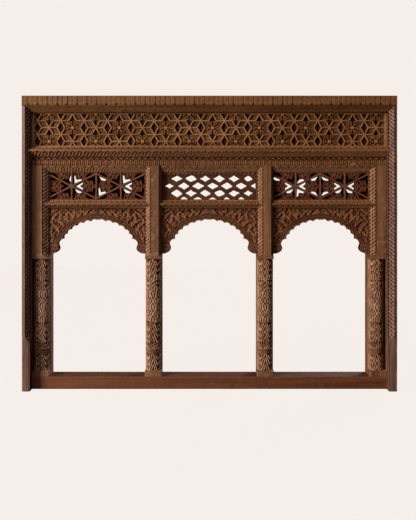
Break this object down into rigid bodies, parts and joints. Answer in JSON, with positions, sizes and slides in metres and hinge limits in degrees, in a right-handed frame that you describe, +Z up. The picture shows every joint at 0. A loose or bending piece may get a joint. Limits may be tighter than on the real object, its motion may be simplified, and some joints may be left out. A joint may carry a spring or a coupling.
{
  "type": "jharokha window frame",
  "caption": "Carved wooden window frame: cusped arches between carved columns, pierced screens over them, a carved frieze and moulded rails, ready to set in a wall or stand.",
  "frame": {"origin": "on the floor plane, in the middle of the frame's width and depth, under the sill", "axes": "+X along the width to the viewer's right, +Y through the frame away from the carved face, +Z up"},
  "size_m": [1.65, 0.15, 1.3],
  "materials": {
    "head_wood": "old carved teak, dry and weathered",
    "jamb_wood": "old carved teak, worn grey-brown",
    "frieze_wood": "old carved teak, warm brown, dry",
    "rail_wood": "old carved teak, dark purple-brown",
    "post_wood": "old carved teak, handled and dull",
    "panel_wood": "old carved teak, red-brown",
    "sill_wood": "old teak, redder and smoother, worn"
  },
  "bodies": {
    "root": {"head_rail": "head_wood", "jamb_left": "jamb_wood", "jamb_right": "jamb_wood", "frieze_panel": "frieze_wood", "upper_moulding": "rail_wood", "lintel": "rail_wood", "post_left": "post_wood", "post_centre_left": "post_wood", "post_centre_right": "post_wood", "post_right": "post_wood", "sill": "sill_wood", "jali_left": "panel_wood", "transom_left": "rail_wood", "spandrel_left_bay_left_half": "panel_wood", "spandrel_left_bay_right_half": "panel_wood", "jali_centre": "panel_wood", "transom_centre": "rail_wood", "spandrel_centre_bay_left_half": "panel_wood", "spandrel_centre_bay_right_half": "panel_wood", "jali_right": "panel_wood", "transom_right": "rail_wood", "spandrel_right_bay_left_half": "panel_wood", "spandrel_right_bay_right_half": "panel_wood"}
  },
  "joints": []
}
